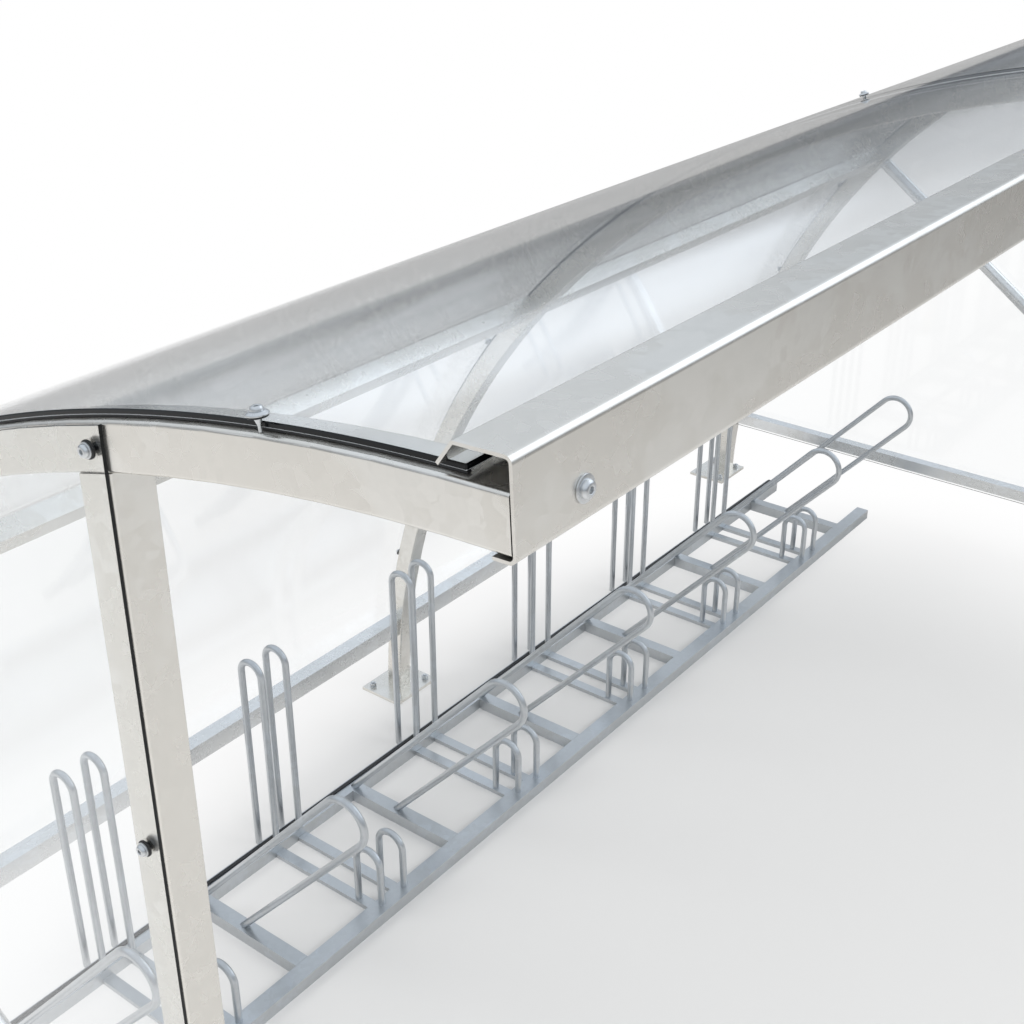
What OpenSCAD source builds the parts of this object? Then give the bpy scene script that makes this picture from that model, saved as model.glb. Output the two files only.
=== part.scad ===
// Two bay bike shelter: three bent box frames, a folded front eave beam,
// clear curved roof, back and side sheets, and a wheel rack on the ground.
// Millimetres, +Z up. The open front faces -Y and the bays run along X.

/* [Overall] */
// number of roof bays between frames
bays = 2; // [2:1:3]
// distance between frame lines, outside faces at the two gables
bay_len = 2075; // [1900:5:2200]
// height of the rafter top at the front eave above the ground
eave_h = 2120; // [2060:1:2200]
// outer radius of the bent frames
arc_r = 2156; // [2100:1:2240]
// slope of the frames at the front eave, degrees
eave_slope = 2.1; // [1:0.1:4]
// lean of the eave beam and the frames' front ends, degrees
eave_lean = 3; // [0:0.5:4]
// slope at which rafter and rear leg meet, degrees
splice_at = 48.8; // [46:0.2:52]

/* [Frames] */
// width of a rafter along X
rafter_w = 50; // [44:1:56]
// depth of a rafter and of a rear leg
rafter_d = 51; // [46:1:54]
// rounding of the folded rafter edges
rafter_edge = 4; // [2:0.5:5]
// gap between the rafter ends and the eave beam
rafter_gap = 1.2; // [0.6:0.2:2]
// width of a front post along X
post_w = 50; // [46:1:60]
// depth of a front post along Y
post_d = 50; // [40:1:60]
// rounding of the post edges
post_edge = 3; // [2:0.5:5]
// distance from the rafter end to the front face of a post
post_back = 456; // [430:1:480]
// thickness of the base plates
plate_t = 10; // [8:1:14]
// width of a rear base plate along X
foot_w = 180; // [160:1:200]
// depth of a rear base plate along Y
foot_d = 150; // [140:1:170]
// width of a front base plate along X
shoe_w = 160; // [150:1:180]
// depth of a front base plate along Y
shoe_d = 140; // [130:1:160]
// diameter of the anchor holes
anchor_hole = 14; // [12:1:16]
// distance from a base plate edge to the anchor holes
anchor_in = 24; // [20:1:28]

/* [Eave beam] */
// sheet thickness of the folded eave beam
eave_t = 3; // [2.5:0.1:3.5]
// height of the eave beam top above the rafter top
eave_rise = 29; // [24:0.5:32]
// depth of the top flange
eave_top = 53; // [50:1:60]
// depth of the bottom return flange
eave_return = 22; // [18:1:26]
// inside bend radius of the eave beam
eave_bend = 4; // [2:0.5:5]
// how far the inner lip slants back
lip_back = 15; // [12:1:18]
// clearance under the rafter to the return flange
return_gap = 2.5; // [1:0.1:4]

/* [Sheets] */
// thickness of the clear sheets
sheet_t = 4; // [3:0.5:6]
// thickness of the rubber strips under roof and back sheets
gasket_t = 2.5; // [2:0.5:5]
// width of the rubber strips
gasket_w = 19; // [14:1:20]
// setback of the roof sheets from the gable face
sheet_in = 9; // [7:0.5:12]
// joint between two neighbouring roof sheets
sheet_joint = 8; // [6:1:12]
// height of the lower edge of side and back sheets above the ground
sheet_low = 190; // [170:5:205]
// distance from the eave plane to the front edge of the roof sheets
sheet_front = 46; // [30:1:50]

/* [Rails] */
// height of the back rails
rail_h = 60; // [50:1:70]
// depth of the back rails
rail_d = 40; // [30:1:45]
// height of the low rail centre above the ground
low_rail_h = 240; // [230:5:260]
// diameter of the side braces
brace_dia = 42; // [38:1:48]
// height of the brace joint on the front post
brace_low = 590; // [540:10:650]

/* [Rack] */
// number of wheel places in each bay
places = 3; // [2:1:3]
// distance from the left gable to the first lock loop
loop_start = 446; // [420:2:460]
// distance from the last lock loop to the right gable
loop_end = 296; // [280:2:340]
// shift of the wheel places from the middle between two lock loops
place_shift = 22; // [0:2:40]
// diameter of the hoop wire
wire_dia = 18; // [16:1:20]
// clear gap between the two hoops of one wheel place
wheel_gap = 66; // [60:1:76]
// top height of the tall hoops
tall_h = 600; // [560:10:680]
// top height of the low front hoops
low_h = 195; // [170:5:230]
// top height of the slanting lock loops
loop_h = 612; // [580:4:660]
// rise of the lock loops towards the front, degrees
loop_rise = 48; // [44:0.5:52]
// distance between the two legs of a lock loop
loop_w = 119; // [105:1:130]
// distance from the rear rack rail to the feet of the rear legs
rack_back = 261; // [240:1:290]
// distance between the two rack rails
rack_deep = 395; // [380:5:420]
// height of the rack rails
rack_rail_h = 35; // [30:1:45]
// width of the rack rails
rack_rail_w = 45; // [40:1:50]
// width of the flat cross bars
cross_w = 40; // [30:1:50]
// thickness of the flat cross bars
cross_t = 12; // [8:1:20]

/* [Hidden] */
$fn = 48;
arc_fn = 360;
fit = 0.3;
steel = [0.78, 0.79, 0.79];
clear = [0.85, 0.92, 0.95, 0.35];
rubber = [0.08, 0.08, 0.08];

total_len = bays * bay_len;
// longer than anything that is cut to the frame arcs
far = 2 * arc_r;
// centre of the frame arcs in the YZ plane, near ground level below the eave
arc_y = -arc_r * sin(eave_slope);
arc_z = eave_h - arc_r * cos(eave_slope);
arc_in = arc_r - rafter_d;
foot_slope = acos((plate_t - arc_z) / arc_r);
leg_out = arc_y + arc_r * sin(foot_slope);
leg_in = arc_y + sqrt(pow(arc_in, 2) - pow(plate_t - arc_z, 2));
foot_y = (leg_out + leg_in) / 2;
// bolt heads on the eave face and the rear base plates bound the depth
head_h = 5;
head_round = 1.5;
socket_d = 5;
socket_deep = 3;
eave_bolt_z = eave_h - 27;
head_dia = 15;
washer_t = 2;
washer_dia = 26;
back_end = foot_y + foot_d / 2;
front_end = -(eave_t + washer_t + head_h) * cos(eave_lean)
  - (eave_h - eave_bolt_z + head_dia / 2 - head_round) * sin(eave_lean);
shift_y = -(front_end + back_end) / 2;
frame_x = [for (i = [0 : bays]) i * bay_len - (i == 0 ? 0 : i == bays ? rafter_w : rafter_w / 2)];
skin_r = arc_r + gasket_t;
// eave beam heights, its inner lip and the bolts through its face
eave_hi = eave_h + eave_rise;
eave_low = eave_h - rafter_d - return_gap - eave_t;
lip_y = eave_top - eave_t;
lip_end = lip_y + lip_back;
lean_arc_y = -arc_r * sin(eave_slope - eave_lean);
lean_arc_z = eave_h - arc_r * cos(eave_slope - eave_lean);
lip_z = lean_arc_z + sqrt(pow(skin_r + sheet_t + fit, 2) - pow(lip_end - lean_arc_y, 2));
bolt_d = 8;
bolt_hole = 8.6;
bolt_x = 84;
eave_bolt_x = [for (i = [0 : bays]) each (i == 0 ? [bolt_x] : i == bays ? [total_len - bolt_x]
  : [i * bay_len - bolt_x + rafter_w / 2, i * bay_len + bolt_x - rafter_w / 2])];
bracket_t = 4;
bracket_x = 62;
bracket_y = 64;
bracket_h = 34;
bracket_down = 16;
splice_len = 160;
splice_w = 36;
splice_t = 5;
splice_pitch = 38;
// slopes of the rails and sheet edges along the frames
low_slope = acos((low_rail_h - arc_z) / (arc_r - rail_d / 2));
rail_sag = pow(rail_h / 2, 2) / (2 * arc_r) + fit;
sheet_slope = asin((sheet_front - arc_y) / skin_r);
sheet_end = acos((sheet_low - arc_z) / skin_r);
joint_slope = sheet_joint / 2 / arc_r * 180 / PI;
brace_top_y = arc_y + arc_in * sin(splice_at);
brace_top_z = arc_z + arc_in * cos(splice_at);
// screws beside the sheet edges into the frames
strip_gap = 0.2;
screw_in = 5;
screw_d = 5;
screw_head = 10.5;
screw_head_h = 5;
screw_washer = 18;
screw_washer_t = 2;
screw_x = [for (i = [0 : bays]) i == 0 ? screw_in : i == bays ? total_len - screw_in : i * bay_len];
screw_first = 255;
screw_pitch = 437.5;
roof_screw_at = [for (k = [0 : 2]) asin((screw_first + k * screw_pitch - arc_y) / arc_r)];
back_screw_at = [54, 65, 76];
// bolts through the side sheets: up the post, along the frame and along the low rail
side_in = 3;
rubber_t = 3;
side_y = post_back + post_d / 2;
side_mid = arc_r - rafter_d / 2;
side_top = 560;
side_pitch = 450;
side_washer = 18;
low_pitch = (foot_y - side_y) / 3.5;
side_bolt_at = concat([for (k = [0 : 2]) [side_y, eave_h - side_top - k * side_pitch]],
  [for (s = [15, 28.3, 41.6, 55, 68]) [arc_y + side_mid * sin(s), arc_z + side_mid * cos(s)]],
  [for (k = [1 : 3]) [side_y + k * low_pitch, low_rail_h]]);
// wheel rack positions along X and across it
rack_end = 100;
rack_rear = foot_y - rack_back;
rack_front = rack_rear - rack_deep;
place_pitch = (total_len - loop_start - loop_end) / (bays * places);
loop_x = [for (i = [0 : bays * places]) loop_start + i * place_pitch];
wheel_x = [for (i = [0 : bays * places - 1]) loop_start + (i + 0.5) * place_pitch + place_shift];
hoop_off = (wheel_gap + wire_dia) / 2;
tall_w = 72;
tall_y = rack_rear - 13;
low_w = 80;
low_y = rack_front + 4;
groove_w = 10;
groove_y = rack_rear + rack_rail_w / 2 - 16;

module place() {
  translate([-total_len / 2, shift_y, 0]) children();
}

// leans a piece drawn upright at the eave about the frames' front top corner
module at_eave() {
  translate([0, 0, eave_h]) rotate([-eave_lean, 0, 0]) translate([0, 0, -eave_h]) children();
}

// turns a profile drawn as radius and width into an arc about the frame centre
module arc_sweep(from, to) {
  translate([0, arc_y, arc_z]) rotate([180, -90, 0]) rotate([0, 0, -to])
    rotate_extrude(angle = to - from, $fn = arc_fn) children();
}

module round_rect(w, d, r) {
  translate([r, 0]) square([w - 2 * r, d]);
  translate([0, r]) square([w, d - 2 * r]);
  for (x = [r, w - r], y = [r, d - r]) translate([x, y]) circle(r = r);
}

// the disc bounded by the frame's outer face, grown outwards by g
module frame_disc(g) {
  translate([arc_y, arc_z]) circle(r = arc_r + g, $fn = arc_fn);
}

// draws a YZ profile and extrudes it along X from x0 to x1
module along_x(x0, x1) {
  translate([x0, 0, 0]) rotate([90, 0, 90]) linear_extrude(height = x1 - x0) children();
}

// one bent box bar of a frame; rafter and rear leg meet flat end to flat end
module frame_bar(from, to) {
  arc_sweep(from, to) translate([arc_in, 0]) round_rect(rafter_d, rafter_w, rafter_edge);
}

module rafters() color(steel) place() for (x = frame_x) translate([x, 0, 0]) intersection() {
  frame_bar(eave_slope - 1.5, splice_at);
  at_eave() translate([-10, rafter_gap, 0]) cube([rafter_w + 20, far, far]);
}

module rear_legs() color(steel) place() for (x = frame_x) translate([x, 0, 0]) intersection() {
  frame_bar(splice_at, foot_slope + 2);
  translate([-10, 0, plate_t]) cube([rafter_w + 20, far, far]);
}

// a flat plate on the side of a frame, over the joint of rafter and rear leg
module splice_plate() {
  translate([0, arc_y, arc_z]) rotate([-splice_at, 0, 0]) translate([0, 0, arc_r - rafter_d / 2])
    rotate([90, 0, 90]) difference() {
      translate([-splice_len / 2, -splice_w / 2, 0]) cube([splice_len, splice_w, splice_t]);
      for (x = [-1.5, -0.5, 0.5, 1.5]) translate([x * splice_pitch, 0, -1])
        cylinder(d = 9, h = splice_t + 2);
    }
}

module splice_plates() color(steel) place() {
  for (i = [0 : bays - 1]) translate([frame_x[i] + rafter_w, 0, 0]) splice_plate();
  for (i = [1 : bays]) translate([frame_x[i] - splice_t, 0, 0]) splice_plate();
}

module both_gables() {
  children();
  translate([total_len, 0, 0]) mirror([1, 0, 0]) children();
}

module front_posts() color(steel) place() both_gables() intersection() {
  translate([0, post_back, plate_t]) linear_extrude(height = eave_h)
    round_rect(post_w, post_d, post_edge);
  along_x(-1, post_w + 1) frame_disc(-rafter_d - fit);
}

// a base plate with four anchor holes, its outer edge on the gable face
module base_plate(w, d) {
  difference() {
    cube([w, d, plate_t]);
    for (x = [anchor_in, w - anchor_in], y = [anchor_in, d - anchor_in])
      translate([x, y, -1]) cylinder(d = anchor_hole, h = plate_t + 2);
  }
}

module post_base_plates() color(steel) place() both_gables()
  translate([0, post_back + post_d / 2 - shoe_d / 2, 0]) base_plate(shoe_w, shoe_d);

module leg_base_plates() color(steel) place() for (i = [0 : bays])
  translate([i * bay_len - (i == 0 ? 0 : i == bays ? foot_w : foot_w / 2), foot_y - foot_d / 2, 0])
    base_plate(foot_w, foot_d);

// the folded sheet of the eave beam: return flange, face, top flange and slanting lip
module eave_profile() {
  span = eave_hi - eave_low;
  fall = atan2(eave_hi - eave_t - lip_z, lip_back);
  difference() {
    translate([-eave_t, eave_low]) round_rect(2 * span, span, eave_bend + eave_t);
    translate([0, eave_low + eave_t]) round_rect(2 * span, span - 2 * eave_t, eave_bend);
    translate([lip_y, eave_low + span / 2]) square([2 * span, span]);
    translate([eave_return - eave_t, eave_low - span / 2]) square([2 * span, span]);
  }
  translate([lip_y, eave_hi - eave_t]) {
    intersection() {
      circle(r = eave_t);
      translate([-eave_t, 0]) square([2 * eave_t, eave_t]);
    }
    rotate(-fall) square([norm([lip_back, eave_hi - eave_t - lip_z]), eave_t]);
  }
}

module eave_beam() color(steel) place() at_eave() difference() {
  along_x(0, total_len) eave_profile();
  for (x = eave_bolt_x) translate([x, 1, eave_bolt_z]) rotate([90, 0, 0])
    cylinder(d = bolt_hole, h = eave_t + 2);
}

// angle between a rafter side and the back of the beam face, drawn for the +X side
module eave_bracket() {
  z = eave_h - bracket_down;
  difference() {
    union() {
      translate([0, fit, z - bracket_h]) cube([bracket_x, bracket_t, bracket_h]);
      translate([0, fit, z - bracket_h]) cube([bracket_t, bracket_y, bracket_h]);
    }
    translate([bolt_x - rafter_w, -1, eave_bolt_z]) rotate([-90, 0, 0])
      cylinder(d = bolt_hole, h = bracket_t + 3);
    translate([-1, bracket_y - 20, eave_bolt_z]) rotate([0, 90, 0])
      cylinder(d = bolt_hole, h = bracket_t + 2);
  }
}

module eave_brackets() color(steel) place() at_eave() {
  for (i = [0 : bays - 1]) translate([frame_x[i] + rafter_w, 0, 0]) eave_bracket();
  for (i = [1 : bays]) translate([frame_x[i], 0, 0]) mirror([1, 0, 0]) eave_bracket();
}

// a button head bolt along +Z, its washer resting at zero; grip is the clamped thickness
module button_bolt(grip, head_d, wash_d, wash_t) {
  difference() {
    union() {
      cylinder(d = wash_d, h = wash_t);
      translate([0, 0, wash_t]) cylinder(d = head_d, h = head_h - head_round);
      translate([0, 0, wash_t + head_h - head_round])
        cylinder(d1 = head_d, d2 = head_d - 2 * head_round, h = head_round);
    }
    translate([0, 0, wash_t + head_h - socket_deep]) cylinder(d = socket_d, h = socket_deep + 1);
  }
  translate([0, 0, -grip - 2]) cylinder(d = bolt_d, h = grip + 2.5);
}

module eave_bolts() color(steel) place() at_eave() for (x = eave_bolt_x) {
  translate([x, -eave_t, eave_bolt_z]) rotate([90, 0, 0])
    button_bolt(eave_t + bracket_t + fit, head_dia, washer_dia, washer_t);
  translate([x, bracket_t + 2 * fit, eave_bolt_z]) rotate([-90, 0, 0]) difference() {
    cylinder(d = 14, h = 6);
    translate([0, 0, -1]) cylinder(d = bolt_d, h = 2.5);
  }
}

// a box rail between two frames, ending a gap short of them, its outer face just inside
// the frame arc at a slope
module arc_rail(slope, gap) {
  for (i = [0 : bays - 1]) {
    x0 = frame_x[i] + rafter_w + gap;
    x1 = frame_x[i + 1] - gap;
    translate([x0, arc_y, arc_z]) rotate([-slope, 0, 0])
      translate([0, -rail_h / 2, arc_r - rail_sag - rail_d]) cube([x1 - x0, rail_h, rail_d]);
  }
}

module upper_back_rail() color(steel) place() arc_rail(splice_at, splice_t + fit);

module low_back_rail() color(steel) place() arc_rail(low_slope, fit);

// what lies inside the frame arcs and behind the front posts
module inside_frame(g) {
  intersection() {
    frame_disc(-rafter_d - g);
    translate([post_back + post_d + g, 0]) square([far, far]);
  }
}

module side_rails() color(steel) place() both_gables() along_x(5, 5 + rail_d) intersection() {
  inside_frame(fit);
  translate([0, low_rail_h - rail_d / 2]) square([far, rail_d]);
}

module side_braces() color(steel) place() both_gables() intersection() {
  run_y = brace_top_y - post_back;
  run_z = brace_top_z - brace_low;
  translate([rafter_w / 2, post_back, brace_low]) rotate([-atan2(run_y, run_z), 0, 0])
    cylinder(d = brace_dia, h = norm([run_y, run_z]) + 100);
  along_x(-1, post_w + 1) inside_frame(fit);
}

// a curved layer of the given thickness lying g outside the frames, between two slopes
module layer(g, thick, from, to, x0, x1) {
  translate([x0, 0, 0]) arc_sweep(from, to) translate([arc_r + g, 0]) square([thick, x1 - x0]);
}

function sheet_x0(i) = i == 0 ? sheet_in : i * bay_len + sheet_joint / 2;
function sheet_x1(i) = i == bays - 1 ? total_len - sheet_in : (i + 1) * bay_len - sheet_joint / 2;

module roof_sheets() color(clear) place() for (i = [0 : bays - 1])
  layer(gasket_t, sheet_t, sheet_slope, splice_at - joint_slope, sheet_x0(i), sheet_x1(i));

module back_sheets() color(clear) place() for (i = [0 : bays - 1])
  layer(gasket_t, sheet_t, splice_at + joint_slope, sheet_end, sheet_x0(i), sheet_x1(i));

// a rubber strip under each side edge of a sheet
module edge_strips(i, from, to) {
  for (x = [sheet_x0(i) + 1, sheet_x1(i) - 1 - gasket_w])
    layer(strip_gap, gasket_t - 2 * strip_gap, from, to, x, x + gasket_w);
}

module roof_gaskets() color(rubber) place() for (i = [0 : bays - 1])
  edge_strips(i, sheet_slope, splice_at - joint_slope);

module back_gaskets() color(rubber) place() for (i = [0 : bays - 1])
  edge_strips(i, splice_at + joint_slope, sheet_end);

// stands a piece on the outer face of the frames, +Z outwards
module on_arc(slope) {
  translate([0, arc_y, arc_z]) rotate([-slope, 0, 0]) translate([0, 0, arc_r]) children();
}

module side_sheets() color(clear) place() both_gables() difference() {
  along_x(-sheet_t, 0) intersection() {
    frame_disc(-side_in);
    translate([post_back + 2, sheet_low]) square([far, far]);
  }
  for (p = side_bolt_at) translate([1, p[0], p[1]]) rotate([0, -90, 0])
    cylinder(d = bolt_hole, h = sheet_t + 2);
}

// a screw beside a sheet edge: its washer holds the edge down, its shank stands on the frame
module sheet_screw() {
  seat = gasket_t + sheet_t + strip_gap;
  translate([0, 0, seat]) cylinder(d = screw_washer, h = screw_washer_t);
  translate([0, 0, seat + screw_washer_t]) cylinder(d = screw_head, h = screw_head_h);
  translate([0, 0, strip_gap]) cylinder(d = screw_d, h = seat + 1);
}

module roof_screws() color(steel) place() for (x = screw_x, s = roof_screw_at)
  translate([x, 0, 0]) on_arc(s) sheet_screw();

module back_screws() color(steel) place() for (x = screw_x, s = back_screw_at)
  translate([x, 0, 0]) on_arc(s) sheet_screw();

module side_bolts() color(steel) place() both_gables() for (p = side_bolt_at)
  translate([-sheet_t - rubber_t, p[0], p[1]]) rotate([0, -90, 0])
    button_bolt(sheet_t + rubber_t - 2.2, head_dia, side_washer, washer_t);

module side_washers() color(rubber) place() both_gables() for (p = side_bolt_at)
  translate([-sheet_t, p[0], p[1]]) rotate([0, -90, 0]) difference() {
    cylinder(d = washer_dia, h = rubber_t);
    translate([0, 0, -1]) cylinder(d = bolt_d + 0.6, h = rubber_t + 2);
  }

module rack_rail(y) {
  translate([rack_end, y - rack_rail_w / 2, 0]) cube([total_len - 2 * rack_end, rack_rail_w, rack_rail_h]);
}

module rack_front_rail() color(steel) place() rack_rail(rack_front);

// the rear rail has a groove along its top that takes the rubber strip
module rack_rear_rail() color(steel) place() difference() {
  rack_rail(rack_rear);
  translate([rack_end - 1, groove_y, rack_rail_h - 4]) cube([total_len, groove_w, 5]);
}

module rack_strip() color(rubber) place()
  translate([rack_end, groove_y + fit, rack_rail_h - 4])
    cube([total_len - 2 * rack_end, groove_w - 2 * fit, 8]);

module rack_cross_bars() color(steel) place() {
  y0 = rack_front + rack_rail_w / 2 + fit;
  y1 = rack_rear - rack_rail_w / 2 - fit;
  for (x = loop_x) translate([x - cross_w / 2, y0, 0]) cube([cross_w, y1 - y0, rack_rail_h]);
  for (x = wheel_x, s = [-1, 1]) translate([x + s * hoop_off - 15, y0, 0])
    cube([30, y1 - y0, cross_t]);
}

// an inverted U of round wire in the YZ plane: legs w apart, total height h,
// the back leg reaching lower than zero by drop
module wire_hoop(w, h, drop) {
  top = h - w / 2 - wire_dia / 2;
  cylinder(d = wire_dia, h = top);
  translate([0, w, -drop]) cylinder(d = wire_dia, h = top + drop);
  translate([0, w / 2, top]) rotate([90, 0, 90]) rotate_extrude(angle = 180, $fn = 48)
    translate([w / 2, 0]) circle(d = wire_dia);
}

module tall_hoops() color(steel) place() for (x = wheel_x, s = [-1, 1])
  translate([x + s * hoop_off, tall_y, rack_rail_h])
    wire_hoop(tall_w, tall_h - rack_rail_h, rack_rail_h);

module low_hoops() color(steel) place() for (x = wheel_x, s = [-1, 1])
  translate([x + s * hoop_off, low_y, rack_rail_h])
    wire_hoop(low_w, low_h - rack_rail_h, rack_rail_h - cross_t);

// a slanting loop: its upper leg stands on the rear rail, its lower leg on the cross bar
module lock_loop() {
  r = loop_w / 2;
  reach = (loop_h - rack_rail_h - wire_dia / 2 - r + r * cos(loop_rise)) / sin(loop_rise);
  intersection() {
    translate([0, rack_rear - 12, rack_rail_h]) rotate([180 - loop_rise, 0, 0]) {
      for (z = [0, loop_w]) translate([0, -40, z]) rotate([-90, 0, 0])
        cylinder(d = wire_dia, h = reach + 40);
      translate([0, reach, r]) rotate([90, 0, 90]) rotate([0, 0, -90])
        rotate_extrude(angle = 180) translate([r, 0]) circle(d = wire_dia);
    }
    translate([-50, 0, rack_rail_h]) cube([100, far, far]);
  }
}

module lock_loops() color(steel) place() for (x = loop_x) translate([x, 0, 0]) lock_loop();

rafters();
rear_legs();
splice_plates();
front_posts();
post_base_plates();
leg_base_plates();
eave_beam();
eave_brackets();
eave_bolts();
upper_back_rail();
low_back_rail();
side_rails();
side_braces();
roof_sheets();
back_sheets();
side_sheets();
roof_gaskets();
back_gaskets();
roof_screws();
back_screws();
side_bolts();
side_washers();
rack_front_rail();
rack_rear_rail();
rack_strip();
rack_cross_bars();
tall_hoops();
low_hoops();
lock_loops();
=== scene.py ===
import math

import bpy
from mathutils import Matrix, Vector


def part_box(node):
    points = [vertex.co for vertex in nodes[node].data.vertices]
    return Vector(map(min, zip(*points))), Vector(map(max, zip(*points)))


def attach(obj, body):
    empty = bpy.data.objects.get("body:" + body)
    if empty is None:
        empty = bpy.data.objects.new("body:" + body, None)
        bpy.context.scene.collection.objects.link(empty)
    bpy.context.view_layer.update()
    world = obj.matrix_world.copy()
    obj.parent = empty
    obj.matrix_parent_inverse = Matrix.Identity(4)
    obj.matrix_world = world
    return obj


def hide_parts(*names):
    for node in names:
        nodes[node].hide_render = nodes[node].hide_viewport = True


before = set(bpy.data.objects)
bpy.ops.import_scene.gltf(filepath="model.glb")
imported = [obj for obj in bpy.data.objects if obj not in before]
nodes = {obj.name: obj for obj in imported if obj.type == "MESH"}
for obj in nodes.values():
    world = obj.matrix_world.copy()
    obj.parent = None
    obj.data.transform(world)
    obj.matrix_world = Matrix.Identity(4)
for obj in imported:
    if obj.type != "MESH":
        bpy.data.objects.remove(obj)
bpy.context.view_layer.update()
print("frame loaded:", len(nodes), "nodes")

shelter = {
    "bays": 2,
    "eaveHeight": 2120.0,  # rafter top at the front
    "arcRadius": 2156.0,  # outer face of the frames
    "eaveSlope": 2.1,  # degrees
    "eaveLean": 3.0,  # degrees that the eave beam leans with the frames' ends
    "spliceAt": 48.8,  # degrees, where rafters and rear legs meet
    "postBack": 456.0,  # front of the posts behind the eave
    "rafterWidth": 50.0,
    "rafterDepth": 51.0,
    "beamSheet": 3.0,
    "sheet": 4.0,  # side sheets
    "skin": 5.8,  # roof and back sheets
    "gasket": 2.5,
}

# places are in millimetres from the left front corner of the frames, on the ground
beamLow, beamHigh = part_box("eave_beam")
corner = Vector((beamLow.x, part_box("front_posts")[0].y - shelter["postBack"] / 1000, 0.0))
totalLength = (beamHigh.x - beamLow.x) * 1000
bayLength = totalLength / shelter["bays"]
arcY = -shelter["arcRadius"] * math.sin(math.radians(shelter["eaveSlope"]))
arcZ = shelter["eaveHeight"] - shelter["arcRadius"] * math.cos(math.radians(shelter["eaveSlope"]))


def place(x, y, z):
    return corner + Vector((x, y, z)) / 1000


def atEave():
    # leans a piece placed upright at the eave about the frames' front top corner
    pivot = Matrix.Translation(place(0, 0, shelter["eaveHeight"]))
    return pivot @ Matrix.Rotation(-math.radians(shelter["eaveLean"]), 4, "X") @ pivot.inverted()


def onArc(slope, lift):
    # a point over the frames' outer face and the turn that stands a piece on it
    angle = math.radians(slope)
    radius = shelter["arcRadius"] + lift
    y, z = arcY + radius * math.sin(angle), arcZ + radius * math.cos(angle)
    return y, z, Matrix.Rotation(-angle, 4, "X")


def mathNode(tree, operation, values, clamp=False):
    node = tree.nodes.new("ShaderNodeMath")
    node.operation = operation
    node.use_clamp = clamp
    for slot, value in zip(node.inputs, values):
        if isinstance(value, Signal):
            tree.links.new(value.socket, slot)
        else:
            slot.default_value = value
    return Signal(tree, node.outputs[0])


class Signal:
    # a number on its way through a node tree: sums on it add Math nodes
    def __init__(self, tree, socket):
        self.tree = tree
        self.socket = socket

    def math(self, operation, *others, clamp=False):
        return mathNode(self.tree, operation, (self, *others), clamp)

    def flip(self, operation, first):
        # with a plain number before the signal, as in 1 - mask
        return mathNode(self.tree, operation, (first, self))

    def __add__(self, other):
        return self.math("ADD", other)

    def __radd__(self, other):
        return self.math("ADD", other)

    def __sub__(self, other):
        return self.math("SUBTRACT", other)

    def __rsub__(self, other):
        return self.flip("SUBTRACT", other)

    def __mul__(self, other):
        return self.math("MULTIPLY", other)

    def __rmul__(self, other):
        return self.math("MULTIPLY", other)

    def __truediv__(self, other):
        return self.math("DIVIDE", other)

    def __rtruediv__(self, other):
        return self.flip("DIVIDE", other)

    def __pow__(self, other):
        return self.math("POWER", other)

    def __abs__(self):
        return self.math("ABSOLUTE")

    def clamp(self):
        return self.math("ADD", 0.0, clamp=True)

    def above(self, start, end):
        # 0 up to start, 1 from end on, smooth between
        share = ((self - start) / (end - start)).clamp()
        return share * share * (3 - 2 * share)


class Finish:
    # the nodes of a material or of the world, and the ways to add to them
    def __init__(self, owner, output="ShaderNodeOutputMaterial"):
        owner.use_nodes = True
        self.owner = owner
        self.tree = owner.node_tree
        self.tree.nodes.clear()
        self.output = self.tree.nodes.new(output)

    def add(self, kind, settings=None, **sockets):
        # sockets go by their name, with _ for a space, or by their number, as _0
        node = self.tree.nodes.new(kind)
        for key, value in (settings or {}).items():
            setattr(node, key, value)
        for key, value in sockets.items():
            slot = node.inputs[int(key[1:])] if key[0] == "_" else node.inputs[key.replace("_", " ")]
            self.feed(value, slot)
        return node

    def feed(self, value, slot):
        if isinstance(value, Signal):
            self.tree.links.new(value.socket, slot)
        elif isinstance(value, bpy.types.NodeSocket):
            self.tree.links.new(value, slot)
        else:
            slot.default_value = value

    def value(self, kind, out=0, **sockets):
        return Signal(self.tree, self.add(kind, **sockets).outputs[out])

    def noise(self, vector, scale, detail):
        return self.value("ShaderNodeTexNoise", Vector=vector, Scale=scale, Detail=detail)

    def where(self):
        # the point on the object, in metres
        return self.add("ShaderNodeTexCoord").outputs["Object"]

    def parts(self, vector):
        node = self.add("ShaderNodeSeparateXYZ", _0=vector)
        return [Signal(self.tree, s) for s in node.outputs]

    def normal(self):
        return self.parts(self.add("ShaderNodeNewGeometry").outputs["Normal"])

    def blend(self, factor, a, b):
        return self.add("ShaderNodeMix", {"data_type": "RGBA"}, _0=factor, _6=a, _7=b).outputs[2]

    def scaled(self, vector, factor):
        return self.add("ShaderNodeVectorMath", {"operation": "MULTIPLY"}, _0=vector, _1=factor).outputs[0]

    def bump(self, height, strength, distance):
        return self.add("ShaderNodeBump", Strength=strength, Distance=distance, Height=height).outputs[0]

    def surface(self, **sockets):
        return self.add("ShaderNodeBsdfPrincipled", **sockets).outputs[0]

    def glow(self, level):
        return self.add("ShaderNodeEmission", Color=(level, level, level, 1), Strength=1.0).outputs[0]

    def mix(self, factor, a, b):
        return self.add("ShaderNodeMixShader", _0=factor, _1=a, _2=b).outputs[0]

    def show(self, shader):
        self.tree.links.new(shader, self.output.inputs["Surface"])
        return self.owner


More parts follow.
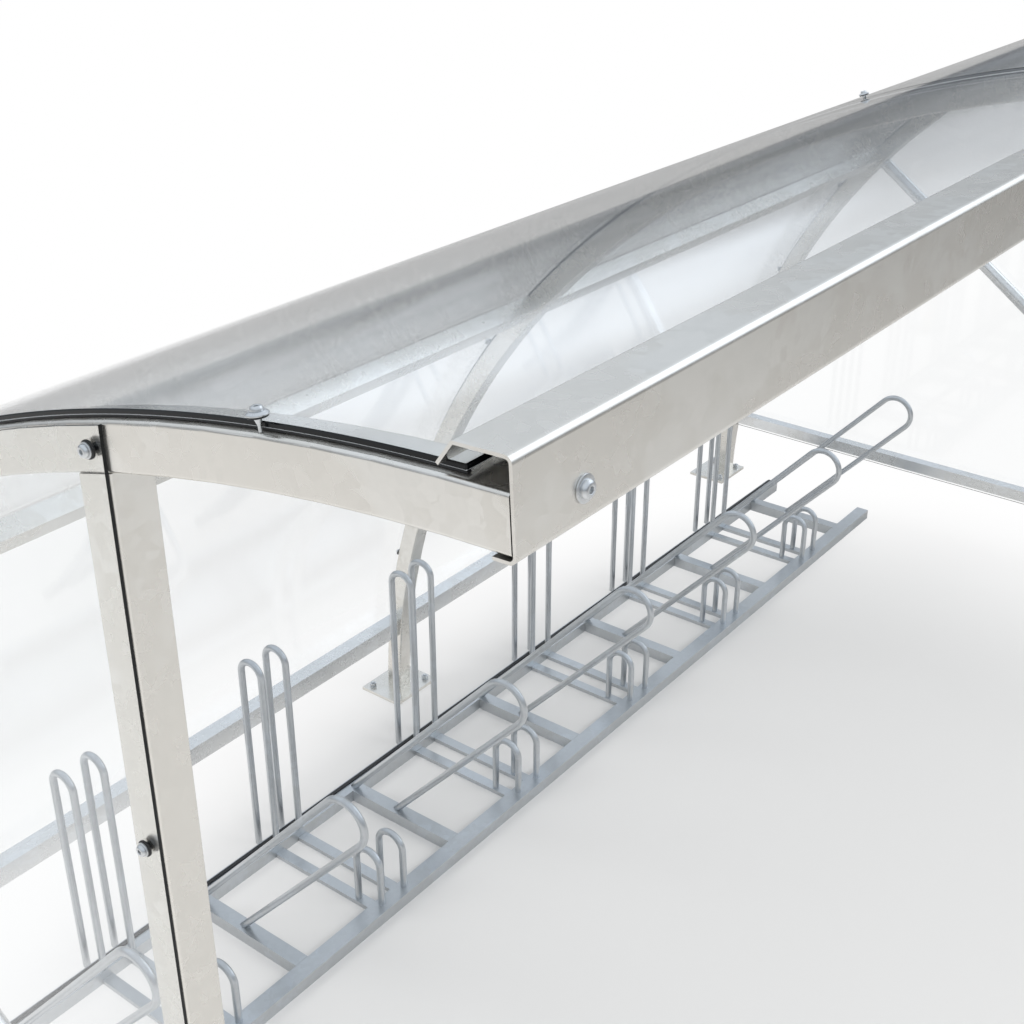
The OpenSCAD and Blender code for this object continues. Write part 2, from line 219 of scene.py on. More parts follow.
steelLook = {
    "tone": (0.787, 0.763, 0.714),
    "paleTint": (0.99, 1.0, 1.015),  # what the pale clouds make of the tone
    "metal": 0.94,
    "specular": 0.15,
    "cloudScale": 7.0,
    "pitScale": 170.0,
    "pitDepth": (0.10, 0.0005),  # strength, and depth in metres
    "cellSize": 0.013,  # spangle, metres
    "cellBend": 0.02,  # how much the clouds bend the borders of the spangle
    "cellCloud": 0.08,  # how much the spangle frays the clouds
    "pale": (0.53, 0.67),  # from and to level of the pale clouds
    "light": 0.93,  # share of the tone, and below it what adds to the share
    "spangleLight": 0.045,
    "paleLight": 0.05,
    "pitLight": 0.03,
    "roughness": 0.25,
    "spangleRough": 0.04,
    "cloudRough": 0.08,
    "paleSheen": 0.03,
    # painted shade: the share by which the inside of the eave beam is painted darker
    "paintedInsideShade": 0.93,  # how much darker the inside of the eave beam is
}


def galvanised(name, look, shadow=None):
    # pale hot-dip zinc: faint angular spangle, broad clouds and small pits;
    # shadow(finish) gives the mask of places painted dark with painted shade and stripped of their metal
    f = Finish(bpy.data.materials.new(name))
    point = f.where()
    clouds = f.add("ShaderNodeTexNoise", Vector=point, Scale=look["cloudScale"], Detail=2.0)
    cloud = Signal(f.tree, clouds.outputs[0])
    pits = f.noise(point, look["pitScale"], 1.0)
    bent = f.add("ShaderNodeMix", {"data_type": "VECTOR"}, _0=look["cellBend"], _4=point,
                 _5=clouds.outputs[1]).outputs[1]
    cells = f.add("ShaderNodeTexVoronoi", Vector=bent, Scale=1 / look["cellSize"])
    spangle = f.parts(cells.outputs["Color"])[0]
    pale = (cloud + look["cellCloud"] * spangle).above(*look["pale"])
    shade = look["light"] + look["spangleLight"] * spangle + look["paleLight"] * pale
    shade = shade + look["pitLight"] * pits
    metal = look["metal"]
    # painted shade: masked places are painted darker and lose their metal
    if shadow:
        inside = shadow(f)
        shade = shade * (1 - look["paintedInsideShade"] * inside)
        metal = metal * (1 - inside)
    paleTone = tuple(part * tint for part, tint in zip(look["tone"], look["paleTint"]))
    colour = f.scaled(f.blend(pale, (*look["tone"], 1), (*paleTone, 1)), shade)
    rough = look["roughness"] + look["spangleRough"] * spangle + look["cloudRough"] * (cloud - 0.5)
    rough = rough - look["paleSheen"] * pale
    bump = f.bump(pits, *look["pitDepth"])
    return f.show(f.surface(Base_Color=colour, Metallic=metal, Roughness=rough, Normal=bump,
                            Specular_IOR_Level=look["specular"]))


beamLook = {
    "rise": 29.0,  # top flange over the eave height
    "returnGap": 2.5,  # between the rafters and the bottom return
    "bend": 4.0,  # inner radius of the bends
    "fading": 0.3,  # half the width of the border between inside and outside
    "inwards": (49.0, 52.0),  # from and to depth behind the face where the shade ends
    "sheetEnds": (0.5, 0.7),  # share of the normal along the beam
}


def insideBeam(f):
    # the mask of painted shade on the inner faces of the folded sheet, found in the beam's own leaning
    # axes
    lean = math.radians(shelter["eaveLean"])
    pivot = place(0, 0, shelter["eaveHeight"])
    position = f.parts(f.where())
    y, z = position[1] - pivot.y, position[2] - pivot.z
    across = y * math.cos(lean) - z * math.sin(lean)
    height = y * math.sin(lean) + z * math.cos(lean)
    ends = abs(f.normal()[0]).above(*beamLook["sheetEnds"])
    reach = beamLook["bend"] + shelter["beamSheet"]
    top = beamLook["rise"] - reach
    bottom = reach - shelter["rafterDepth"] - beamLook["returnGap"] - shelter["beamSheet"]
    # how far a point lies beyond the centre line of the bends
    left = (beamLook["bend"] / 1000 - across).math("MAXIMUM", 0.0)
    over = (height - top / 1000).math("MAXIMUM", 0.0)
    under = (bottom / 1000 - height).math("MAXIMUM", 0.0)
    depth = (left * left + over * over + under * under) ** 0.5
    sheetMiddle = (beamLook["bend"] + shelter["beamSheet"] / 2) / 1000
    fading = beamLook["fading"] / 1000
    within = 1 - depth.above(sheetMiddle - fading, sheetMiddle + fading)
    start, end = beamLook["inwards"]
    return within * (1 - across.above(start / 1000, end / 1000)) * (1 - ends)


boltLook = {
    "dark": (0.58, 0.60, 0.61, 1),
    "pale": (0.78, 0.79, 0.80, 1),
    "cloudScale": 160.0,
    "grainScale": 900.0,
    "grainDepth": (0.2, 0.0001),  # strength, and depth in metres
    "roughness": 0.22,
    "cloudRough": 0.16,
}


def zincBolt(name, look):
    f = Finish(bpy.data.materials.new(name))
    point = f.where()
    grain = f.noise(point, look["grainScale"], 2.0)
    cloud = f.noise(point, look["cloudScale"], 2.0)
    colour = f.blend(cloud, look["dark"], look["pale"])
    rough = look["roughness"] + look["cloudRough"] * cloud
    bump = f.bump(grain, *look["grainDepth"])
    return f.show(f.surface(Base_Color=colour, Metallic=1.0, Roughness=rough, Normal=bump))


rubberLook = {
    "clean": (0.012, 0.012, 0.013, 1),
    "dusty": (0.035, 0.035, 0.036, 1),
    "dustScale": 24.0,
    "dust": (0.45, 0.75),  # from and to level of the dust
    "grainScale": 700.0,
    "grainDepth": (0.3, 0.0002),  # strength, and depth in metres
    "roughness": 0.42,
    "dustRough": 0.2,
}


def blackRubber(name, look):
    f = Finish(bpy.data.materials.new(name))
    point = f.where()
    grain = f.noise(point, look["grainScale"], 3.0)
    dust = f.noise(point, look["dustScale"], 3.0).above(*look["dust"])
    colour = f.blend(dust, look["clean"], look["dusty"])
    rough = look["roughness"] + look["dustRough"] * dust
    bump = f.bump(grain, *look["grainDepth"])
    return f.show(f.surface(Base_Color=colour, Roughness=rough, Normal=bump))


sheetLook = {
    "film": (0.995, 0.998, 0.998, 1),  # what one face lets through
    "mirror": (0.96, 0.97, 0.98, 1),
    "straightOn": 0.040,  # share mirrored straight on
    "slantPower": 5.0,
    "smearScale": 3.1,
    "smearSheen": (0.85, 0.3),  # share of the sheen, and what smears add
    "smearRough": (0.02, 0.06),  # roughness of the mirror, and what smears add
    # painted shade: the cut edges are painted near black for the darkness light gives the edge of a clear
    # sheet
    "edge": (0.006, 0.007, 0.008, 1),
    "edgeRough": 0.16,
    "edgeSpecular": 0.25,
    # painted highlight: the lower bevels are painted pale for the bright line along a sheet's lower arris
    "arris": (0.80, 0.83, 0.85, 1),
    "arrisRough": 0.3,
    "bevelled": (0.5, 0.6),  # how far a face looks outward from where it is a bevel
    "wide": (0.8, 0.9),  # and from where it is one of the wide faces
    "sideWide": (0.5, 0.7),  # the same on the flat sheets
    "fading": 0.2,  # half the width of the border between lower and upper bevel
    "clearance": 0.5,  # how far the faces of the side sheets are drawn in
}


def clearSheet(name, look, edges):
    # see-through with a mirror sheen that grows at a slant, the same from both sides;
    # edges(finish) gives the masks of the cut edges, painted near black as painted shade, and, on the
    # curved sheets, of the lower bevels beside them, painted pale as a painted highlight
    f = Finish(bpy.data.materials.new(name))
    slant = f.value("ShaderNodeLayerWeight", out=1, Blend=0.5)
    sheen = look["straightOn"] + (1 - look["straightOn"]) * slant ** look["slantPower"]
    smear = f.noise(f.where(), look["smearScale"], 1.0)
    least, added = look["smearSheen"]
    smooth, rougher = look["smearRough"]
    film = f.add("ShaderNodeBsdfTransparent", Color=look["film"]).outputs[0]
    mirror = f.surface(Base_Color=look["mirror"], Metallic=1.0, Roughness=smooth + rougher * smear)
    whole = f.mix((sheen * (least + added * smear)).clamp(), film, mirror)
    cut, bevelled = edges(f)
    # painted shade on the cut edges
    rim = f.surface(Base_Color=look["edge"], Roughness=look["edgeRough"],
                    Specular_IOR_Level=look["edgeSpecular"])
    whole = f.mix(cut, whole, rim)
    # painted highlight on the lower bevels
    if bevelled:
        whole = f.mix(bevelled, whole, f.surface(Base_Color=look["arris"], Roughness=look["arrisRough"]))
    return f.show(whole)


def curvedSheetEdges(f):
    # the wide faces look away from the centre line of the arcs, the cut edges don't
    position = f.parts(f.where())
    normal = f.normal()
    centre = place(0, arcY, arcZ)
    y, z = position[1] - centre.y, position[2] - centre.z
    reach = (y * y + z * z) ** 0.5
    outward = abs((normal[1] * y + normal[2] * z) / reach)
    middle = (shelter["arcRadius"] + shelter["gasket"] + shelter["skin"] / 2) / 1000
    fading = sheetLook["fading"] / 1000
    cut = 1 - outward.above(*sheetLook["wide"])
    # only the lower bevels take the painted highlight
    lower = 1 - reach.above(middle - fading, middle + fading)
    return cut, outward.above(*sheetLook["bevelled"]) * cut * lower


def flatSheetEdges(f):
    # the side sheets' cut edges take the painted shade, without a painted highlight
    return 1 - abs(f.normal()[0]).above(*sheetLook["sideWide"]), None


steel = galvanised("galvanisedSteel", steelLook)
# painted shade: the brackets get a near black, rougher tone for the shade they sit in behind the eave beam
bracketSteelPaintedShade = galvanised("bracketSteelPaintedShade", {**steelLook, "tone": (0.16, 0.16, 0.155), "roughness": 0.45})
# rails and rack come from other batches of zinc, cooler and, in the rack, darker
railSteel = galvanised("railSteel", {**steelLook, "tone": (0.785, 0.790, 0.785)})
rackSteel = galvanised("rackSteel", {**steelLook, "tone": (0.575, 0.595, 0.610), "roughness": 0.30})
# the eave beam's inner faces are painted darker as painted shade
foldedSteelPaintedShade = galvanised("foldedSteelPaintedShade", steelLook, insideBeam)
bolt = zincBolt("zincBolt", boltLook)
rubber = blackRubber("blackRubber", rubberLook)
curvedSheet = clearSheet("clearCurvedSheet", sheetLook, curvedSheetEdges)
flatSheet = clearSheet("clearFlatSheet", sheetLook, flatSheetEdges)
print("finishes made")

finishes = {"galvanised_steel": steel, "bolt_steel": bolt, "rubber": rubber, "clear_sheet": curvedSheet}
railNodes = ("low_back_rail", "side_rails", "side_braces")
rackNodes = ("rack_front_rail", "rack_rear_rail", "rack_cross_bars", "tall_hoops", "low_hoops",
             "lock_loops")
special = {"side_sheets": flatSheet, "eave_beam": foldedSteelPaintedShade, "eave_brackets": bracketSteelPaintedShade}
special.update(dict.fromkeys(railNodes, railSteel))
special.update(dict.fromkeys(rackNodes, rackSteel))
for name, node in nodes.items():
    slotName = node.data.materials[0].name
    node.data.materials[0] = special.get(name, finishes[slotName])
clearance = nodes["side_sheets"].modifiers.new("clearance", "DISPLACE")
clearance.strength = -sheetLook["clearance"] / 1000
clearance.mid_level = 0.0
print("frame nodes dressed")

meshLook = {
    "round": 48,  # sides of heads, washers and nuts
    "slim": 24,  # sides of shanks, sleeves and studs
    "arc": 96,  # stretches along a bent sheet
    "sharp": 32,  # degrees between faces from which an edge stays sharp
}


def hexagon(angle, flats):
    # distance from the axis to a hexagon of the given width across flats
    turn = (angle + math.pi / 6) % (math.pi / 3) - math.pi / 6
    return flats / 2 / math.cos(turn)


def turned(profile, segments=meshLook["round"]):
    # rings of ("round" or "hex", size, height) in millimetres, joined up and closed at both ends
    points, faces = [], []
    for shape, size, height in profile:
        for k in range(segments):
            angle = 2 * math.pi * k / segments
            radius = hexagon(angle, size) if shape == "hex" else size
            points.append(Vector((radius * math.cos(angle), radius * math.sin(angle), height)) / 1000)
    for ring in range(len(profile) - 1):
        for k in range(segments):
            a, b = ring * segments + k, ring * segments + (k + 1) % segments
            faces.append((a, b, b + segments, a + segments))
    last = (len(profile) - 1) * segments
    faces.append(tuple(reversed(range(segments))))
    faces.append(tuple(last + k for k in range(segments)))
    return points, faces


def build(name, shapes, finish):
    # one piece from several turned or swept shapes, each with its own matrix
    mesh = bpy.data.meshes.new(name)
    points, faces = [], []
    for (shapePoints, shapeFaces), matrix in shapes:
        start = len(points)
        points += [matrix @ p for p in shapePoints]
        faces += [tuple(start + i for i in face) for face in shapeFaces]
    mesh.from_pydata(points, [], faces)
    mesh.polygons.foreach_set("use_smooth", [True] * len(mesh.polygons))
    mesh.set_sharp_from_angle(angle=math.radians(meshLook["sharp"]))
    mesh.materials.append(finish)
    piece = bpy.data.objects.new(name, mesh)
    bpy.context.scene.collection.objects.link(piece)
    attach(piece, "root")
    return piece


def disc(radius, low, high, edge):
    # a washer's outline with rounded rims, from its underside to its top
    inner = radius - edge
    rounded = edge * 0.3  # depth of a round rim half way along it
    middle = radius - rounded
    return [("round", inner, low), ("round", middle, low + rounded), ("round", radius, low + edge),
            ("round", radius, high - edge), ("round", middle, high - rounded), ("round", inner, high)]


headForm = {
    "rim": 0.6,  # rounding of the washer
    "dishSlope": 1.6,  # how far in a dished washer goes for each millimetre up
    "foot": (0.2, 0.4),  # chamfer under the dome, wide and high
    "domeSteps": 8,
    "mouth": (1.0, 0.5),  # chamfer of the socket, wide and deep
    "drill": (0.4, 0.6),  # radius and depth of the point below the socket
}


def buttonHead(washerRadius, look):
    # a domed head with a hexagon socket on its washer, from the washer's underside up
    seat = look["washer"]
    top = seat + look["height"]
    rings = disc(washerRadius, 0.0, seat - look["dish"], headForm["rim"])
    if look["dish"]:
        rings.append(("round", washerRadius - headForm["dishSlope"] * look["dish"], seat))
    footWide, footHigh = headForm["foot"]
    rings += [("round", look["head"] - footWide, seat), ("round", look["head"], seat + footHigh)]
    for k in range(1, headForm["domeSteps"] + 1):
        bend = math.radians(90 * k / headForm["domeSteps"])
        radius = look["crown"] + (look["head"] - look["crown"]) * math.cos(bend)
        rings.append(("round", radius, seat + footHigh + (look["height"] - footHigh) * math.sin(bend)))
    mouthWide, mouthDeep = headForm["mouth"]
    drillRadius, drillDepth = headForm["drill"]
    bottom = top - look["socketDepth"]
    rings += [("hex", look["socket"] + mouthWide, top), ("hex", look["socket"], top - mouthDeep)]
    rings += [("hex", look["socket"], bottom), ("round", drillRadius, bottom - drillDepth)]
    return turned(rings)


nutForm = {
    "chamfer": 0.9,
    "rounded": 0.96,  # width of the end faces as a share of the flats
    "bore": (0.5, 1.2),  # how much the bore narrows, and its depth
    "centre": 0.3,  # radius of the flat that closes the bore
}


def hexNut(flats, height, bore):
    # a nut with chamfered ends, its bore only as deep as it shows
    chamfer = nutForm["chamfer"]
    end = flats / 2 * nutForm["rounded"]
    narrower, deep = nutForm["bore"]
    bottom = height - deep
    outside = [("round", end, 0.0), ("hex", flats, chamfer)]
    outside += [("hex", flats, height - chamfer), ("round", end, height)]
    recess = [("round", bore, height), ("round", bore - narrower, bottom)]
    return turned([*outside, *recess, ("round", nutForm["centre"], bottom)])


tipForm = (0.4, 0.6)  # chamfer at the tip of a shank, wide and high


def tip(radius, low):
    return [("round", radius - tipForm[0], low), ("round", radius, low + tipForm[1])]


def shank(radius, low, high):
    return turned(tip(radius, low) + [("round", radius, high)], meshLook["slim"])


def facing(x, y, z, axis):
    # a matrix that stands a piece's +Z along an axis at a place
    return Matrix.Translation(place(x, y, z)) @ Vector(axis).to_track_quat("Z", "Y").to_matrix().to_4x4()


eaveBoltLook = {
    "inward": 84.0,
    "below": 27.0,
    "washer": 11.8,
    "shank": (4.0, -9.0, 0.5),  # radius, tip and top, from the beam's face outward
    "nut": (13.0, 6.0, 4.3),  # flats, height and bore
    "nutAt": 4.6,  # behind the frames' front corner
}
eaveHeadLook = {
    "head": 8.3,
    "height": 5.0,
    "crown": 4.6,  # radius of the flat top, where the socket opens
    "socket": 5.6,
    "socketDepth": 3.0,
    "washer": 2.0,  # thickness
    "dish": 0.0,
}


def eaveBolts(look):
    half = shelter["rafterWidth"] / 2
    across = [look["inward"], totalLength - look["inward"]]
    for k in range(1, shelter["bays"]):
        across += [k * bayLength - look["inward"] + half, k * bayLength + look["inward"] - half]
    height = shelter["eaveHeight"] - look["below"]
    shapes = []
    for x in across:
        outside = atEave() @ facing(x, -shelter["beamSheet"], height, (0, -1, 0))
        shapes.append((buttonHead(look["washer"], eaveHeadLook), outside))
        shapes.append((shank(*look["shank"]), outside))
        shapes.append((hexNut(*look["nut"]), atEave() @ facing(x, look["nutAt"], height, (0, 1, 0))))
    piece = build("eaveBolts", shapes, bolt)
    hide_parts("eave_bolts")


sideBoltLook = {
    "rubber": 3.0,
    "rubberRadius": 9.6,
    "rubberRim": 0.8,
    "washer": 8.2,
    "shank": (4.0, -6.8, 0.5),  # radius, tip and top, from the rubber outward
    "postY": 481.0,
    "postCount": 3,
    "belowEave": 560.0,
    "pitch": 450.0,
    "slopes": (15.11, 28.3, 41.6, 55.0, 68.0),  # degrees along the rafters and rear legs
    "railHeight": 240.0,
    "railCount": 3,
    "railPitches": 3.5,  # from post to leg
}
sideHeadLook = {
    "head": 7.0,
    "height": 4.6,
    "crown": 4.1,  # radius of the flat top, where the socket opens
    "socket": 5.0,
    "socketDepth": 3.0,
    "washer": 2.0,  # thickness
    "dish": 0.0,
}


def sideBolts(look):
    footY = (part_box("leg_base_plates")[0].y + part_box("leg_base_plates")[1].y) / 2 - corner.y
    highest = shelter["eaveHeight"] - look["belowEave"]
    spots = [(look["postY"], highest - k * look["pitch"]) for k in range(look["postCount"])]
    spots += [onArc(slope, -shelter["rafterDepth"] / 2)[:2] for slope in look["slopes"]]
    railPitch = (footY * 1000 - look["postY"]) / look["railPitches"]
    spots += [(look["postY"] + (k + 1) * railPitch, look["railHeight"]) for k in range(look["railCount"])]
    heads, rubbers = [], []
    for y, z in spots:
        for x, axis in ((-shelter["sheet"], (-1, 0, 0)), (totalLength + shelter["sheet"], (1, 0, 0))):
            outside = facing(x + axis[0] * look["rubber"], y, z, axis)
            heads.append((buttonHead(look["washer"], sideHeadLook), outside))
            heads.append((shank(*look["shank"]), outside))
            ring = disc(look["rubberRadius"], 0.0, look["rubber"], look["rubberRim"])
            rubbers.append((turned(ring), facing(x, y, z, axis)))
    heads = build("sideBolts", heads, bolt)
    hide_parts("side_bolts")
    rubbers = build("sideWashers", rubbers, rubber)
    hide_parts("side_washers")


screwLook = {
    "inward": 5.0,
    "first": 255.0,  # from the eave back, on the roof
    "pitch": 437.5,
    "roofCount": 3,
    "backSlopes": (54.0, 65.0, 76.0),
    "washer": 10.0,
    "gap": 0.2,
    "lift": 7.0,  # of the washer over the sheet
    "pin": 1.8,
    "sleeve": 4.4,
    "sleeveFoot": 2.0,  # how far below the sheets' upper face its cone starts
    "neck": 0.4,  # of the sleeve under the pad
    "sunk": 0.3,  # end of the sleeve in the washer
    "pad": (9.2, 1.8),  # radius and height
    "padRim": 0.4,
}
screwHeadLook = {
    "head": 5.9,
    "height": 4.2,
    "crown": 3.8,  # radius of the flat top, where the socket opens
    "socket": 4.4,
    "socketDepth": 2.4,
    "washer": 3.4,  # thickness with the dish
    "dish": 1.7,  # how much of it the washer rises towards the head
}


def sheetScrews(name, node, slopes, look):
    # screws beside the sheets' edges, their dished washers on pads over a sleeve that narrows to a pin
    face = shelter["skin"] + shelter["gasket"]
    seat = face + look["lift"]
    padRadius, padHeight = look["pad"]
    sleeve = tip(look["pin"], look["gap"])
    sleeve.append(("round", look["pin"], face - look["sleeveFoot"]))
    sleeve.append(("round", look["sleeve"], seat - padHeight - look["neck"]))
    sleeve.append(("round", look["sleeve"], seat + look["sunk"]))
    joints = [k * bayLength for k in range(1, shelter["bays"])]
    across = [look["inward"], *joints, totalLength - look["inward"]]
    heads, pads = [], []
    for x in across:
        for slope in slopes:
            y, z, turn = onArc(slope, 0)
            standing = Matrix.Translation(place(x, y, z)) @ turn
            onPad = standing @ Matrix.Translation((0, 0, seat / 1000))
            heads.append((buttonHead(look["washer"], screwHeadLook), onPad))
            heads.append((turned(sleeve, meshLook["slim"]), standing))
            pads.append((turned(disc(padRadius, seat - padHeight, seat, look["padRim"])), standing))
    piece = build(name, heads, bolt)
    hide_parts(node)
    piece = build(name.replace("Screws", "ScrewPads"), pads, rubber)


def roofSlopes(look):
    back = [look["first"] + k * look["pitch"] for k in range(look["roofCount"])]
    return [math.degrees(math.asin((y - arcY) / shelter["arcRadius"])) for y in back]


anchorLook = {
    "plate": 10.0,
    "edge": 24.0,
    "washer": (11.0, 2.2, 0.5),  # radius, thickness and rim
    "nut": (18.0, 10.0, 6.2),  # flats, height and bore
    "turns": (0.4, 0.9),  # radians that the nuts turn from hole to hole
    "stud": 5.0,
    "studFoot": 2.0,
    "studTip": (1.2, 1.0),  # chamfer, wide and high
    "rise": 26.0,
    "postPlate": (160.0, 140.0),
    "legPlate": (180.0, 150.0),
}


def groundAnchors(look):
    # a nut on a stud with a washer in each hole of the base plates
    plates = []
    for node, size, lines in (("post_base_plates", look["postPlate"], (0, shelter["bays"])),
                              ("leg_base_plates", look["legPlate"], range(shelter["bays"] + 1))):
        low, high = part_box(node)
        middle = ((low.y + high.y) / 2 - corner.y) * 1000
        for line in lines:
            # the end plates stand wholly inside their frames' outer faces, the middle one astride
            inward = {0: 1, shelter["bays"]: -1}.get(line, 0)
            x = line * bayLength + inward * size[0] / 2
            plates.append((x, middle, size[0] / 2 - look["edge"], size[1] / 2 - look["edge"]))
    washerRadius, washerHeight, washerRim = look["washer"]
    washerTop = look["plate"] + washerHeight
    washer = turned(disc(washerRadius, look["plate"], washerTop, washerRim))
    nut = hexNut(*look["nut"])
    tipWide, tipHigh = look["studTip"]
    radius, rise = look["stud"], look["rise"]
    studRings = [("round", radius, look["studFoot"]), ("round", radius, rise - tipHigh)]
    stud = turned([*studRings, ("round", radius - tipWide, rise)], meshLook["slim"])
    shapes = []
    for x, y, dx, dy in plates:
        for sx in (-1, 1):
            for sy in (-1, 1):
                at = Matrix.Translation(place(x + sx * dx, y + sy * dy, 0))
                turn = Matrix.Rotation(look["turns"][0] * sx + look["turns"][1] * sy, 4, "Z")
                onWasher = at @ Matrix.Translation((0, 0, washerTop / 1000)) @ turn
                shapes += [(washer, at), (nut, onWasher), (stud, at)]
    piece = build("groundAnchors", shapes, bolt)


def sweptBars(name, node, slopes, radii, spans, bevel, finish):
    # bars bent along the frames' arc, with bevelled arrises, between two slopes
    low, high = radii
    start, end = slopes
    steps = meshLook["arc"]
    turn = math.degrees(bevel / high)
    shapes = []
    for left, right in spans:
        section = [(left + bevel, low), (right - bevel, low), (right, low + bevel), (right, high - bevel),
                   (right - bevel, high), (left + bevel, high), (left, high - bevel), (left, low + bevel)]
        inner = [(min(max(x, left + bevel), right - bevel), min(max(r, low + bevel), high - bevel))
                 for x, r in section]
        rings = [(start, inner), (start + turn, section)]
        rings += [(start + turn + (end - start - 2 * turn) * k / steps, section) for k in range(1, steps)]
        rings += [(end - turn, section), (end, inner)]
        points = []
        for slope, ring in rings:
            angle = math.radians(slope)
            points += [place(x, arcY + r * math.sin(angle), arcZ + r * math.cos(angle)) for x, r in ring]
        sides = len(section)
        faces = []
        for ring in range(len(rings) - 1):
            for k in range(sides):
                a, b = ring * sides + k, ring * sides + (k + 1) % sides
                faces.append((b, a, a + sides, b + sides))
        faces += [tuple(range(sides)), tuple(len(points) - 1 - k for k in range(sides))]
        shapes.append(((points, faces), Matrix.Identity(4)))
    piece = build(name, shapes, finish)
    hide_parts(node)
    return piece


skinLook = {
    "bevel": 1.2,
    "inward": 9.0,
    "joint": 8.0,
    "front": 46.0,  # of the roof sheets behind the eave
    "low": 190.0,  # height of the back sheets' lower edge
    "strip": 5.0,
    "stripInward": 1.0,
    "stripGap": 0.2,
    "stripBevel": 0.4,
}


def skins(look):
    # the roof and back sheets and the rubber strips under their outer edges
    inner = shelter["arcRadius"] + shelter["gasket"]
    gap = math.degrees(look["joint"] / 2 / shelter["arcRadius"])
    front = math.degrees(math.asin((look["front"] - arcY) / inner))
    foot = math.degrees(math.acos((look["low"] - arcZ) / inner))
    joints = [k * bayLength for k in range(1, shelter["bays"])]
    lefts = [look["inward"]] + [x + look["joint"] / 2 for x in joints]
    rights = [x - look["joint"] / 2 for x in joints] + [totalLength - look["inward"]]
    spans = list(zip(lefts, rights))
    strips = []
    for left, right in spans:
        strips.append((left + look["stripInward"], left + look["stripInward"] + look["strip"]))
        strips.append((right - look["stripInward"] - look["strip"], right - look["stripInward"]))
    sheetRadii = inner, inner + shelter["skin"]
    stripRadii = shelter["arcRadius"] + look["stripGap"], inner - look["stripGap"]
    sheetForm = sheetRadii, spans, look["bevel"], curvedSheet
    stripForm = stripRadii, strips, look["stripBevel"], rubber
    splice = shelter["spliceAt"]
    for part, slopes in (("roof", (front, splice - gap)), ("back", (splice + gap, foot))):
        sheets = sweptBars(part + "Sheets", part + "_sheets", slopes, *sheetForm)
        rubbers = sweptBars(part + "Gaskets", part + "_gaskets", slopes, *stripForm)


skins(skinLook)
print("sheets bent")
eaveBolts(eaveBoltLook)
sideBolts(sideBoltLook)
sheetScrews("roofScrews", "roof_screws", roofSlopes(screwLook), screwLook)
sheetScrews("backScrews", "back_screws", screwLook["backSlopes"], screwLook)
groundAnchors(anchorLook)
print("fasteners built")

floorLook = {
    "size": 60.0,
    "tone": (0.795, 0.795, 0.790),
    "mottleScale": 1.1,
    "mottle": 0.985,  # the tone's share in the darker spots
    "roughness": 0.85,
    "specular": 0.2,
    "middle": (0.03, -0.15),
    "fade": (0.7, 1.6),  # metres from there to the back where the floor turns white
    "wide": 1.5,  # how much further it reaches along the shelter
    "front": 0.4,  # and how much slower it comes towards the front
    "whiteSide": (-1.0, 2.0),  # x less y, from and to where mirrors stop seeing the white
    "dim": (  # direction, metres along it and level of what mirrors see there
        ((0.7071, -0.7071), (0.2, 13.8), 0.30),  # front right
        ((-1.0, 0.0), (4.75, 5.6), 0.75),  # left
        ((0.7071, 0.7071), (3.6, 8.0), 0.53),  # back right
    ),
}


def paleFloor(name, look):
    f = Finish(bpy.data.materials.new(name))
    point = f.where()
    mottle = f.noise(point, look["mottleScale"], 1.0)
    darker = tuple(part * look["mottle"] for part in look["tone"])
    colour = f.blend(mottle, (*look["tone"], 1), (*darker, 1))
    plain = f.surface(Base_Color=colour, Roughness=look["roughness"], Specular_IOR_Level=look["specular"])
    x, y = f.parts(point)[:2]
    rays = f.add("ShaderNodeLightPath").outputs
    seen, mirrored = Signal(f.tree, rays["Is Camera Ray"]), Signal(f.tree, rays["Is Glossy Ray"])
    along, back = (x - look["middle"][0]) / look["wide"], y - look["middle"][1]
    back = back.math("MAXIMUM", back * -look["front"])
    far = ((along * along + back * back) ** 0.5).above(*look["fade"])
    white = (seen + mirrored * (1 - (x - y).above(*look["whiteSide"]))).clamp() * far
    whole = f.mix(white, plain, f.glow(1))
    for (towardsX, towardsY), reach, level in look["dim"]:
        share = (x * towardsX + y * towardsY).above(*reach) * mirrored
        whole = f.mix(share, whole, f.glow(level))
    return f.show(whole)


def layFloor(look):
    half = look["size"] / 2
    mesh = bpy.data.meshes.new("floor")
    corners = [(-half, -half, 0), (half, -half, 0), (half, half, 0), (-half, half, 0)]
    mesh.from_pydata(corners, [], [(0, 1, 2, 3)])
    mesh.materials.append(paleFloor("paleFloor", look))
    floor = bpy.data.objects.new("floor", mesh)
    bpy.context.scene.collection.objects.link(floor)


studioLook = {
    "plain": 0.70,  # light on matt surfaces
    "plainTint": (0.985, 0.99, 1.0, 1),
    "low": 0.25,  # mirrored near the horizon
    "high": 0.85,  # mirrored well above it
    "rise": (-0.05, 0.5),  # heights of the direction between low and high
    "red": 0.925,  # tint of what is mirrored
    "blue": 1.09,
    "streak": 0.50,
    "streakStretch": (1.0, 1.0, 14.0),
    "streakScale": 1.7,
    "streakWeight": 1.25,  # near the horizon, and 1 less well above it
    "frontBox": {"towards": (0.79, -0.36, 0.50), "cosines": (0.86, 0.94), "light": 0.8},
    "backBand": {  # a short level strip of light at the back right
        "towards": (0.766, 0.643),
        "cosines": (0.95, 0.975),
        "lower": (0.125, 0.17),
        "upper": (0.23, 0.28),
        "light": 0.52,
    },
}


